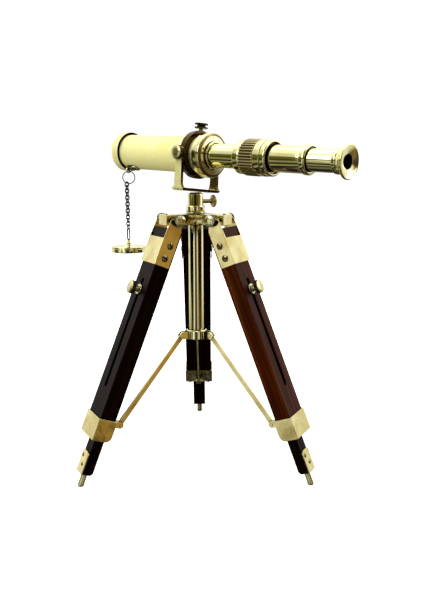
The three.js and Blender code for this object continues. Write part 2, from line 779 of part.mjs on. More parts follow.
// A flat brace from the leg's band to the hub on the column, both eyes bored.
function spreaderArm(letter) {
  const { station, reach, width, thickness, eye, pin } = BRACE;
  const splay = radians(SPLAY);
  const down = HINGE.height - HUB.pinHeight;
  const out = HUB.pinReach - HINGE.reach;
  const hubX = out * Math.cos(splay) - down * Math.sin(splay);
  const hubZ = -out * Math.sin(splay) - down * Math.cos(splay);
  const half = thickness / 2;
  const far = new THREE.Vector2(hubX, hubZ);
  const near = new THREE.Vector2(reach, -station);
  const body = joined(
    slab(linkOutline(near.x, near.y, far.x, far.y, width / 2), -half, half),
    alongY(rod(eye, -half, half)).translate(near.x, 0, near.y),
    alongY(rod(eye - 0.3, -half, half)).translate(far.x, 0, far.y),
  );
  const bores = [near, far].map((p) => alongY(rod(pin + GAP, -half - 1, half + 1, 12)).translate(p.x, 0, p.y));
  return mesh("spreader_arm_" + letter, cut(body, ...bores), BRASS);
}

// ---------------------------------------------------------------- assembly

// The object is first built about the column's axis.
const standing = new THREE.Group();

standing.add(crown(), column(), postSleeve(), postScrew(), spreaderHub(), post());

for (const [letter, azimuth] of Object.entries(LEGS)) {
  const side = new THREE.Group();
  side.rotation.z = radians(azimuth);
  const leg = new THREE.Group();
  leg.position.set(HINGE.reach, 0, HINGE.height);
  leg.rotation.y = -radians(SPLAY);
  leg.add(upperLeg(letter), legBracket(letter), hingeBolt(letter), hingeNut(letter), lowerBand(letter));
  leg.add(lowerLeg(letter), clampScrew(letter), footPlate(letter), spreaderArm(letter));
  side.add(leg);
  standing.add(side);
  footPin(letter, leg);
}

// The yoke turns about the column's axis and leans about the telescope's length.
const turntable = new THREE.Group();
turntable.position.z = YOKE.base;
turntable.rotation.z = radians(PAN);
const saddle = new THREE.Group();
saddle.rotation.x = -radians(LEAN);
const pivot = new THREE.Group();
pivot.position.set(YOKE_OFFSET, 0, YOKE.rise);
const telescope = new THREE.Group();
telescope.rotation.y = radians(TILT);
pivot.add(telescope, yoke(), postRivet(), pivotKnob("pivot_knob_left", -1), pivotKnob("pivot_knob_right", 1));
saddle.add(pivot);
turntable.add(saddle);
standing.add(turntable);

telescope.add(barrel(), objectiveBezel(), objectiveLens(), saddleBand(), rearCap());
telescope.add(drawTube1(), erectorLens(), focusGrip(), focusRing(), drawTube2(), fieldLens());
telescope.add(drawCollar(), drawTube3(), eyepieceCup(), eyeLens(), bandScrew(), chainBracket());

// The ring hangs from the bracket's eye. The chain is hooked a little to one side of the ring's
// lowest point, and leads down to the cap's stem.
standing.updateMatrixWorld(true);
const hook = new THREE.Vector3(EYE.station, 0, -EYE.drop);
hook.applyAxisAngle(new THREE.Vector3(1, 0, 0), radians(-BRACKET.drop));
telescope.localToWorld(hook);

const ring = splitRing();
ring.rotation.x = Math.PI / 2;
ring.position.copy(hook);
ring.position.z -= SPLIT_RING.radius + EYE.radius - EYE.wire - SPLIT_RING.wire - GAP;

const cap = dustCap();
cap.position.set(ring.position.x - CHAIN.capShift, ring.position.y, 0);

const reach = SPLIT_RING.radius + SPLIT_RING.wire + 2 * GAP;
const hookTurn = radians(CHAIN.hookTurn);
const from = ring.position.clone();
from.x -= reach * Math.sin(hookTurn);
from.z -= reach * Math.cos(hookTurn);
const to = new THREE.Vector3(cap.position.x, cap.position.y, DUST_CAP.top + GAP);
const length = from.distanceTo(to);
const chainBar = chain(length);
chainBar.position.copy(from);
chainBar.rotation.y = Math.atan2(from.x - to.x, from.z - to.z);

standing.add(ring, chainBar, cap);

// The row's origin is under the middle of the whole outline, on the ground.
const outline = new THREE.Box3().setFromObject(standing, true);
const middle = outline.getCenter(new THREE.Vector3());
standing.position.set(-middle.x, -middle.y, 0);
const group = new THREE.Group();
group.add(standing);

export default group;
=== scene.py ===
# A brass draw telescope on a folding wooden tripod. Lengths of the pieces are millimetres, in the local
# frame of the telescope, the yoke, the column or a leg. Each frame is placed from the record's joints.
# Lengths of the stage, the lights and the camera are metres.

import json
from math import atan2, cos, hypot, pi, radians, sin

import bmesh
import bpy
from mathutils import Matrix, Vector


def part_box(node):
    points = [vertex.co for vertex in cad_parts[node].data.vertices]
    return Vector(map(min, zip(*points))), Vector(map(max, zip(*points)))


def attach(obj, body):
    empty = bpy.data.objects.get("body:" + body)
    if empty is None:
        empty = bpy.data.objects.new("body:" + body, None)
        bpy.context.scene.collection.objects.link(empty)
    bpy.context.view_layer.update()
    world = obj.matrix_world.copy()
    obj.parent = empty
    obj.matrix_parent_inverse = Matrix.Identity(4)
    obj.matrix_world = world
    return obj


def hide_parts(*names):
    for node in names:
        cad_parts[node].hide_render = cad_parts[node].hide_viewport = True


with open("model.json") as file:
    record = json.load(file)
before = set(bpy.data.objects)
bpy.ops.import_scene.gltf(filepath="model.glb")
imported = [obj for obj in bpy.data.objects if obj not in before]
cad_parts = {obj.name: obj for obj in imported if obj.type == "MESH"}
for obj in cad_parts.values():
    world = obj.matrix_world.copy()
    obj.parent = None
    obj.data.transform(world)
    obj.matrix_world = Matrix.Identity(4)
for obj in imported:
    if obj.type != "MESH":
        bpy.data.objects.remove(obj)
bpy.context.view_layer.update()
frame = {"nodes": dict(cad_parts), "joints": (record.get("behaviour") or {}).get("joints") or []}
JOINTS = {joint["name"]: joint for joint in frame["joints"]}
MM = 0.001
LEGS = "abc"

# how far sharp edges of the CAD shapes are rounded
THICK_EASE = 0.5  # on wood, the yoke and the crown
SHEET_EASE = 0.3
BAND_EASE = 0.25  # on the legs' bands and the hub
FINE_EASE = 0.15
WELD = 0.02  # corners closer than this are one
CREASE = 32  # degrees between two faces that meet in a sharp edge
FILLET = 0.18  # of a turned corner that names none

# flat sides round each kind of turned piece
SIDES = {"shank": 32, "stem": 48, "side_screw": 64, "tube": 96, "ring": 128}
WIRE_SIDES = 10
SCREW_SIDES = 24
RIB_SIDES = 10  # to each rib of the focus grip
KNURL_SIDES = 8  # to each ridge of a knurled head

# knurled heads: near and far end, radius of the rim and of the face, ridges and their depth
BAND_SCREW_HEAD = (21.6, 26.2, 5.6, 3.6, 30, 0.3)
PIVOT_HEAD = (23.7, 27.9, 5.7, 5.0, 26, 0.4)
CLAMP_HEAD = (11.4, 16, 5.7, 4.8, 26, 0.4)
HINGE_HEAD = (14.5, 19.2, 4.9, 4.0, 24, 0.4)
BACK_HINGE_HEAD = (14.5, 16.7, 2.8, 2.2, 16, 0.25)
HINGE_TAIL = -15.7
BACK_HINGE_TAIL = -15.1
SHANK = 1.9  # radius of a screw's or a bolt's shank
STEM = 2.8  # radius on a head beyond which it is rim

# the focus grip's ribbed stretch, its ribs and their depth
RIBS = (55.2, 68.9, 38, 0.8)

# slotted screws: radius and height, and where they sit on a leg
STRAP_SCREW = (3.1, 1.0)
STRAP_SPOTS = ((-1, -22), (0, -33))  # across and down the leg
STRAP_SIDE = 13.85  # from the middle of the leg to the face of its strap
BAND_SCREW = (1.6, 0.7)
BAND_SPOTS = [(-9.35, y, z) for y in (-9.5, 9.5) for z in (-178.2, -188.2)]
FOOT_SCREW = (1.9, 0.7)
FOOT_SPOTS = [(2.15, -3.2, -210.5), (2.15, 0.6, -217.5)]
SLOT_TURNS = (0.5, 1.3, 2.2, 0.9)  # how far the slots of neighbouring screws are turned, in radians
CLAMP_STATION = 64  # of the clamp screw, below the hinge

# the split ring's wire, how far it moves sideways in its two turns, and the angle where it starts
RING_WIRE = 0.46
RING_PITCH = 0.24
RING_START = 1.9
RING_STEPS = 95  # straight steps in the two turns
RING_INSET = 0.5  # from the CAD ring's outside to the middle of the wire

# chain links: radius of the wire, width over its middle, and the pitch or the length
LINK_WIRE, LINK_WIDTH, LINK_PITCH = 0.6, 3.5, 3.1
LAST_WIRE, LAST_WIDTH, LAST_LENGTH = 0.7, 3.4, 10.5
LINK_STEPS = 14  # straight steps round each end of a link
CHAIN_TWIST = 35  # degrees, of every other link; the links between are a right angle further
LAST_TWIST = 60

# how much of a face's normal lies along a direction that the face counts as facing
FACING = 0.7
INWARD = 0.5
SIDEWAYS = 0.6  # across X, when no more than this lies along X


# ------------------------------------------------------------------ local frames


def axes(x, y, z, origin):
    """The matrix of a local frame in millimetres."""
    turn = Matrix((x, y, z)).transposed().to_4x4()
    return Matrix.Translation(origin) @ turn @ Matrix.Scale(MM, 4)


def axis(name):
    return Vector(JOINTS[name]["axis"]).normalized()


def place(name):
    return Vector(JOINTS[name]["pos_m"])


def telescope_frame():
    x, y = axis("first_draw_slide"), axis("tilt")
    z = x.cross(y).normalized()
    return axes(x, z.cross(x), z, place("tilt"))


def yoke_frame():
    y = axis("tilt")
    x = y.cross(Vector((0, 0, 1))).normalized()
    return axes(x, y, x.cross(y), place("tilt"))


def leg_frame(leg):
    z, y = -axis(f"lower_leg_{leg}_slide"), axis(f"leg_{leg}_fold")
    return axes(y.cross(z).normalized(), y, z, place(f"leg_{leg}_fold"))


def upright_frame(x, y, z=0.0, azimuth=0.0):
    return Matrix.Translation((x, y, z)) @ Matrix.Rotation(azimuth, 4, "Z") @ Matrix.Scale(MM, 4)


TELESCOPE = telescope_frame()
YOKE = yoke_frame()
LEG = {leg: leg_frame(leg) for leg in LEGS}
COLUMN_X, COLUMN_Y, _ = place("pan")
COLUMN = upright_frame(COLUMN_X, COLUMN_Y)
X_TO_Z = Matrix.Rotation(-pi / 2, 4, "Y")
X_TO_Y = Matrix.Rotation(pi / 2, 4, "Z")


# ------------------------------------------------------------------ materials

# the painted crevice shade looks for close faces with this many rays
OCCLUSION_SAMPLES = 8  # rays that look for faces close by


class Tree:
    """The nodes of a material or of the world."""

    def __init__(self, owner):
        owner.use_nodes = True
        self.nodes = owner.node_tree.nodes
        self.links = owner.node_tree.links

    def node(self, kind, **inputs):
        made = self.nodes.new(kind)
        for key, value in inputs.items():
            made.inputs[key.replace("_", " ")].default_value = value
        return made

    def ramp(self, value, *stops):
        """A value turned into colour, by stops of a position and a colour or a grey."""
        made = self.node("ShaderNodeValToRGB")
        self.links.new(value, made.inputs["Fac"])
        points = made.color_ramp.elements
        while len(points) < len(stops):
            points.new(0.5)
        for point, (at, color) in zip(points, stops):
            point.position = at
            point.color = (*color, 1) if isinstance(color, tuple) else (color, color, color, 1)
        return made.outputs["Color"]

    def mixed(self, fac, one, two, mode="MIX"):
        made = self.node("ShaderNodeMix")
        made.data_type = "RGBA"
        made.blend_type = mode
        sockets = [s for s in made.inputs if s.type == "RGBA"]
        for socket, value in zip([made.inputs[0], *sockets], [fac, one, two]):
            if isinstance(value, bpy.types.NodeSocket):
                self.links.new(value, socket)
            else:
                socket.default_value = value
        return next(s for s in made.outputs if s.type == "RGBA")


class Shader(Tree):
    """A node material built up from a Principled shader."""

    def __init__(self, name, **inputs):
        self.material = bpy.data.materials.new(name)
        super().__init__(self.material)
        self.main = self.nodes["Principled BSDF"]
        self.place = self.node("ShaderNodeTexCoord").outputs["Object"]
        for key, value in inputs.items():
            self.main.inputs[key.replace("_", " ")].default_value = value

    def noise(self, scale, detail, roughness=0.55, distortion=0.0):
        """Noise with so many spots to a millimetre along each axis of the piece."""
        mapping = self.node("ShaderNodeMapping", Scale=scale)
        self.links.new(self.place, mapping.inputs["Vector"])
        made = self.node(
            "ShaderNodeTexNoise",
            Scale=1.0,
            Detail=detail,
            Roughness=roughness,
            Distortion=distortion,
        )
        self.links.new(mapping.outputs["Vector"], made.inputs["Vector"])
        return made.outputs["Fac"]

    def crevice_shade(self, color, depth, dark):
        """The colour darkened where other faces stand close: painted shade in crevices and between parts.
        """
        near = self.node("ShaderNodeAmbientOcclusion", Distance=depth * MM)
        near.samples = OCCLUSION_SAMPLES
        painted_shade = self.ramp(near.outputs["AO"], (0.3, dark), (0.9, 1.0))
        return self.mixed(1.0, color, painted_shade, "MULTIPLY")

    def to(self, name, value):
        self.links.new(value, self.main.inputs[name])

    def bump(self, *layers):
        """Relief in layers of a height, a strength and a depth in millimetres."""
        normal = None
        for value, strength, depth in layers:
            made = self.node("ShaderNodeBump", Strength=strength, Distance=depth * MM)
            self.links.new(value, made.inputs["Height"])
            if normal:
                self.links.new(normal, made.inputs["Normal"])
            normal = made.outputs["Normal"]
        self.links.new(normal, self.main.inputs["Normal"])


def brass(name, bright, deep, rough, turned=0.15, uneven=0.1, metallic=1.0):
    """Polished brass: clouded by tarnish, with fine turning lines, a slightly uneven face and painted
    shade in its crevices.
    """
    made = Shader(name, Metallic=metallic)
    cloud = made.noise((0.05, 0.05, 0.05), 5.0, 0.6, 0.4)
    specks = made.noise((1.1, 1.1, 1.1), 3.0, 0.7)
    lines = made.noise((6.0, 0.08, 0.08), 2.0, 0.6)
    swell = made.noise((0.09, 0.09, 0.09), 2.0, 0.4)
    tone = made.ramp(cloud, (0.32, deep), (0.62, bright))
    spots = made.ramp(specks, (0.28, 0.72), (0.42, 1.0))
    # painted shade: the colour falls to near black where other faces stand within 4 mm
    made.to("Base Color", made.crevice_shade(made.mixed(1.0, tone, spots, "MULTIPLY"), 4.0, 0.02))
    made.to("Roughness", made.ramp(cloud, (0.3, rough * 1.6), (0.7, rough * 0.7)))
    made.bump((swell, uneven, 0.5), (lines, turned, 0.02), (specks, 0.05, 0.02))
    return made.material


def wood(name, dark, mid, light):
    """Lacquered wood with its grain along the leg: pores, growth bands, slow changes of tone and painted
    shade where other faces stand close.
    """
    made = Shader(name, Specular_IOR_Level=0.06, Specular_Tint=(1.0, 0.6, 0.22, 1))
    fibres = made.noise((1.6, 1.6, 0.035), 6.0, 0.65, 0.3)
    bands = made.noise((0.22, 0.3, 0.006), 3.0, 0.5, 0.9)
    patches = made.noise((0.04, 0.04, 0.012), 2.0)
    tone = made.ramp(bands, (0.3, dark), (0.52, mid), (0.72, light))
    grain = made.ramp(fibres, (0.36, 0.35), (0.55, 1.0))
    slow = made.ramp(patches, (0.3, 0.6), (0.7, 1.15))
    color = made.mixed(0.8, tone, grain, "MULTIPLY")
    # painted shade: the colour darkens where other faces stand within 12 mm
    made.to("Base Color", made.crevice_shade(made.mixed(0.8, color, slow, "MULTIPLY"), 12.0, 0.05))
    made.to("Roughness", made.ramp(fibres, (0.3, 0.54), (0.6, 0.34)))
    made.bump((bands, 0.12, 0.4), (fibres, 0.25, 0.08))
    return made.material


def plain(name, color, rough, metallic=0.0, **inputs):
    """A quiet finish whose tone and gloss still vary a little."""
    made = Shader(name, Metallic=metallic, **inputs)
    fine = made.noise((0.6, 0.6, 0.6), 4.0, 0.6)
    low, high = (tuple(c * k for c in color) for k in (0.7, 1.15))
    made.to("Base Color", made.ramp(fine, (0.3, low), (0.7, high)))
    made.to("Roughness", made.ramp(fine, (0.3, rough * 1.3), (0.7, rough * 0.8)))
    made.bump((fine, 0.1, 0.05))
    return made.material


# brass in the tones that it shows, from bright to near black; the darkest tones also carry painted shade
BRASS = brass("polished_brass", (0.95, 0.91, 0.48), (0.86, 0.78, 0.34), 0.05)
SATIN = brass("satin_brass", (0.97, 0.92, 0.43), (0.93, 0.86, 0.35), 0.5, turned=0.2, metallic=0.55)
BRUSHED = brass(
    "brushed_brass",
    (0.74, 0.70, 0.31),
    (0.5, 0.45, 0.17),
    0.5,
    turned=0.2,
    uneven=0.4,
    metallic=0.55,
)
SHEET = brass("sheet_brass", (0.94, 0.85, 0.42), (0.68, 0.54, 0.19), 0.10, turned=0.0, uneven=0.7)
# near-black brass for the ridged rims of knurled heads: painted shade in the rims
KNURL_SHADE = brass("knurled_brass", (0.09, 0.065, 0.025), (0.035, 0.022, 0.008), 0.25)
RIBBED = brass("ribbed_brass", (0.44, 0.36, 0.16), (0.26, 0.2, 0.08), 0.2)
# near-black brass: painted shade on the bezel's rear face and the rear cap's collar; the pivot band and
# the yoke strip's edges are all this dark tone
DARK_BRASS = brass("dark_brass_and_painted_shade", (0.10, 0.055, 0.015), (0.03, 0.016, 0.004), 0.12)
# brown brass: painted shade on the rear cap's shoulder slope and the yoke's inward faces
BROWN_SHADE_BRASS = brass("brown_painted_shade", (0.30, 0.20, 0.06), (0.13, 0.08, 0.02), 0.25)
# lit and shaded copies of one lacquered wood: the lighter, redder copy paints in the light falling on leg
# b's upper rail, the dark copy is on all other rails
DARK_WOOD = wood(
    "dark_wood",
    dark=(0.0018, 0.0003, 0.0001),
    mid=(0.005, 0.0013, 0.0004),
    light=(0.016, 0.0055, 0.0015),
)
LIT_WOOD = wood(
    "mahogany",
    dark=(0.024, 0.0022, 0.0002),
    mid=(0.062, 0.0085, 0.0006),
    light=(0.13, 0.03, 0.003),
)
STEEL = plain("dark_steel", (0.022, 0.021, 0.014), 0.4, metallic=0.5)
AGED = brass("aged_brass", (0.82, 0.78, 0.44), (0.62, 0.54, 0.26), 0.16, uneven=0.25)
# black: the blackened bores of the tubes, and painted shadow in screw slots and round screw heads
BLACK_BORE_AND_SHADOW = plain("blackened_bore_and_painted_shadow", (0.004, 0.004, 0.004), 0.6)
GLASS = plain("lens_glass", (0.9, 0.95, 0.97), 0.03, Transmission_Weight=1.0, IOR=1.5)


# ------------------------------------------------------------------ pieces


def piece(name, mesh, at, body, material, *nodes, inside=None, edge=None, crease=CREASE, flat=False):
    """A finished piece: shaded smooth with crisp edges, riding on its body.

    inside and edge are its second and third finish, nodes are the CAD nodes that it replaces, and flat
    is for a piece made of flat faces.
    """
    made = bpy.data.objects.new(name, mesh)
    bpy.context.scene.collection.objects.link(made)
    for finish in (material, inside, edge):
        if finish:
            mesh.materials.append(finish)
    for face in mesh.polygons:
        face.use_smooth = True
    mesh.set_sharp_from_angle(angle=radians(crease))
    if flat:
        weighted = made.modifiers.new("flat_faces", "WEIGHTED_NORMAL")
        weighted.weight = 100
        weighted.keep_sharp = True
    made.matrix_world = at
    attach(made, body)
    if nodes:
        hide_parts(*nodes)


def mesh_of(bm):
    mesh = bpy.data.meshes.new("part")
    bmesh.ops.recalc_face_normals(bm, faces=bm.faces)
    bm.to_mesh(mesh)
    bm.free()
    return mesh


def eased(profile):
    """Profile points [x, r] or [x, r, fillet], with each filleted corner drawn as a short curve."""
    done = []
    count = len(profile)
    for i, point in enumerate(profile):
        here = Vector(point[:2])
        fillet = point[2] if len(point) > 2 else FILLET
        before = Vector(profile[i - 1][:2]) - here
        after = Vector(profile[(i + 1) % count][:2]) - here
        reach = min(fillet, 0.45 * before.length, 0.45 * after.length)
        if reach < 0.01:
            done.append(here)
            continue
        start = here + before.normalized() * reach
        end = here + after.normalized() * reach
        for k in range(4):
            t = k / 3
            done.append((1 - t) ** 2 * start + 2 * t * (1 - t) * here + t * t * end)
    return done


# These pick a finish for a face from its middle and its normal: 0 is the piece's own, 1 inside, 2 edge.


def in_bore(middle, normal):
    outward = Vector((0, middle.y, middle.z)).normalized()
    return normal.dot(outward) < -INWARD


# the bore takes the blackened finish, the rear face painted shade
def bore_or_rear(middle, normal):
    return 2 if normal.x > FACING else in_bore(middle, normal)


# the rear cap's collar and shoulder slope take painted shade
def shoulder_or_collar(middle, _):
    """For the rear cap: 2 on the outside of its collar, 1 on the slope of its shoulder."""
    collar = 17.75 < middle.x < 19.5 and hypot(middle.y, middle.z) > 10.72
    slope = 16.7 < middle.x < 17.6
    return 2 if collar else slope


# the yoke's inward faces take painted shade, the edges of its strip the dark tone
def inner_or_edge(middle, normal):
    """For the yoke: 2 on the edges of its strip, 1 on the faces that look inwards."""
    if abs(normal.x) > FACING:
        return 2
    return abs(normal.y) > FACING and middle.y * normal.y < 0


# the ridged rim of a knurled head takes the painted shade
def on_rim(middle, normal):
    return abs(normal.x) < SIDEWAYS and hypot(middle.y, middle.z) > STEM


def on_ribs(middle, _):
    near, far = RIBS[:2]
    return near - 0.2 < middle.x < far


def finish_faces(bm, pick):
    for face in bm.faces:
        face.material_index = int(pick(face.calc_center_median(), face.normal))


def lathe(profile, sides=SIDES["tube"], ridges=None, pick=None):
    """A body turned about X. ridges is (from, to, count, depth), and pick gives a face's finish."""
    bm = bmesh.new()
    rings = []
    for x, r in eased(profile):
        if r < 1e-4:
            rings.append([bm.verts.new((x, 0, 0))])
            continue
        ring = []
        for k in range(sides):
            turn = 2 * pi * k / sides
            reach = r
            if ridges and ridges[0] <= x <= ridges[1]:
                reach = r - ridges[3] * (0.5 - 0.5 * cos(ridges[2] * turn)) ** 1.5
            ring.append(bm.verts.new((x, reach * cos(turn), reach * sin(turn))))
        rings.append(ring)
    for one, two in zip(rings, rings[1:] + rings[:1]):
        if len(one) == 1 and len(two) == 1:
            continue
        for k in range(sides):
            n = (k + 1) % sides
            quad = [one[k % len(one)], one[n % len(one)], two[n % len(two)], two[k % len(two)]]
            bm.faces.new(list(dict.fromkeys(quad)))
    bmesh.ops.recalc_face_normals(bm, faces=bm.faces)
    if pick:
        finish_faces(bm, pick)
    return mesh_of(bm)


def softened(node, at, width, pick=None):
    """A CAD node's shape in a local frame, with flat faces made whole and its sharp edges rounded."""
    bm = bmesh.new()
    bm.from_mesh(frame["nodes"][node].data)
    bmesh.ops.transform(bm, matrix=at.inverted(), verts=bm.verts)
    bmesh.ops.remove_doubles(bm, verts=bm.verts, dist=WELD)
    bmesh.ops.dissolve_limit(bm, angle_limit=radians(2), verts=bm.verts, edges=bm.edges)
    edges = [e for e in bm.edges if len(e.link_faces) == 2 and e.calc_face_angle() > radians(CREASE)]
    edges = [e for e in edges if e.calc_length() > 2 * width]
    bmesh.ops.bevel(
        bm,
        geom=edges,
        offset=width,
        offset_type="OFFSET",
        segments=2,
        profile=0.6,
        affect="EDGES",
        clamp_overlap=False,
    )
    if pick:
        finish_faces(bm, pick)
    return mesh_of(bm)


def joined(parts):
    """One mesh from (mesh, matrix) pairs."""
    bm = bmesh.new()
    for mesh, at in parts:
        part = mesh.copy()
        part.transform(at)
        bm.from_mesh(part)
        bpy.data.meshes.remove(part)
    return mesh_of(bm)


def swept(path, radius, closed=True):
    """A round wire along a path of points."""
    sides = WIRE_SIDES
    bm = bmesh.new()
    count = len(path)
    rings = []
    for i, here in enumerate(path):
        before = path[i - 1] if closed or i else path[i]
        after = path[(i + 1) % count] if closed or i + 1 < count else path[i]
        along = (after - before).normalized()
        side = (side - along * side.dot(along)).normalized() if rings else along.orthogonal().normalized()
        other = along.cross(side)
        turns = [2 * pi * k / sides for k in range(sides)]
        rings.append([bm.verts.new(here + radius * (cos(t) * side + sin(t) * other)) for t in turns])
    pairs = list(zip(rings, rings[1:]))
    if closed:
        shift = min(range(sides), key=lambda s: (rings[0][s].co - rings[-1][0].co).length)
        pairs.append((rings[-1], rings[0][shift:] + rings[0][:shift]))
    for one, two in pairs:
        for k in range(sides):
            n = (k + 1) % sides
            bm.faces.new((one[k], one[n], two[n], two[k]))
    if not closed:
        bm.faces.new(rings[0])
        bm.faces.new(rings[-1])
    return mesh_of(bm)


def loop(length, width):
    """The centre line of a chain link: two straight sides and two round ends, in Y and Z."""
    half = width / 2
    straight = length / 2 - half
    path = []
    for k in range(2 * LINK_STEPS):
        turn = pi * k / LINK_STEPS
        lift = straight if k < LINK_STEPS else -straight
        path.append(Vector((0, half * cos(turn), half * sin(turn) + lift)))
    return path


def slotted_screw(radius, height):
    """A domed screw head along X with a sawn slot, and a ring of shadow in the sheet around it; the slot
    and the ring are painted shadow in black.
    """
    bm = bmesh.new()
    rings = 7
    sides = SCREW_SIDES
    slot = 0.16 * radius  # half its width
    bottom = 0.35 * height
    sunk = 0.4  # of the head's foot below the sheet
    lift = 0.03  # of the shadow above the sheet
    turns = [2 * pi * k / sides for k in range(sides)]
    verts = [[bm.verts.new((height, 0, 0))]]
    for i in range(1, rings + 1):
        tip = i / rings
        x = height * (1 - tip ** 3)
        reach = radius * tip
        verts.append([bm.verts.new((x, reach * cos(t), reach * sin(t))) for t in turns])
    verts.append([bm.verts.new((-sunk, 0.9 * v.co.y, 0.9 * v.co.z)) for v in verts[-1]])
    for one, two in zip(verts, verts[1:]):
        for k in range(sides):
            n = (k + 1) % sides
            quad = [one[k % len(one)], one[n % len(one)], two[n], two[k]]
            bm.faces.new(list(dict.fromkeys(quad)))
    bm.faces.new(verts[-1])
    for y in (-slot, slot):
        cut = bm.verts[:] + bm.edges[:] + bm.faces[:]
        bmesh.ops.bisect_plane(bm, geom=cut, plane_co=(0, y * 1.3, 0), plane_no=(0, 1, 0))
        cut = bm.verts[:] + bm.edges[:] + bm.faces[:]
        bmesh.ops.bisect_plane(bm, geom=cut, plane_co=(0, y, 0), plane_no=(0, 1, 0))
    for vert in bm.verts:
        if abs(vert.co.y) <= slot * 1.05 and vert.co.x > 0.1:
            vert.co.x = min(vert.co.x, bottom)
    # the slot's faces take black: painted shade
    for face in bm.faces:
        middle = face.calc_center_median()
        face.material_index = int(abs(middle.y) < slot and 0 < middle.x <= bottom + 0.01 * height)
    # a ring of painted shadow round the head, just above the sheet
    rim = [v.co.copy() for v in verts[-2]]
    inner, outer = ([bm.verts.new((lift, k * co.y, k * co.z)) for co in rim] for k in (0.98, 1.27))
    for k in range(sides):
        n = (k + 1) % sides
        shadow = bm.faces.new((inner[k], inner[n], outer[n], outer[k]))
        shadow.material_index = 1
    return mesh_of(bm)


def knurled_head(near, far, radius, face, ridges, depth, waist=False):
    """A thumb screw's head along X: a ridged rim with a slightly domed polished face."""
    length = far - near
    if waist:
        third = length / 3
        profile = [
            [near, 0, 0],
            [near, radius - 0.4],
            [near + 0.2, radius, 0.1],
            [near + third - 0.2, radius, 0.1],
            [near + third, radius - 0.4],
            [near + third, face],
            [far - third, face],
            [far - third, radius - 0.4],
            [far - third + 0.2, radius, 0.1],
            [far - 0.2, radius, 0.1],
            [far, radius - 0.5],
            [far + 0.1, 0.5 * radius, 0.8],
            [far, 0, 0],
        ]
        return lathe(profile, ridges * KNURL_SIDES, (near + 0.1, far - 0.05, ridges, depth), on_rim)
    profile = [
        [near, 0, 0],
        [near, face - 0.3],
        [near + 0.25, radius, 0.1],
        [far - 0.9, radius, 0.1],
        [far - 0.7, face],
        [far - 0.5, face - 0.15, 0.3],
        [far - 0.1, 0.68 * face, 1.4],
        [far + 0.15, 0, 0],
    ]
    return lathe(profile, ridges * KNURL_SIDES, (near + 0.2, far - 0.85, ridges, depth), on_rim)


# ------------------------------------------------------------------ telescope


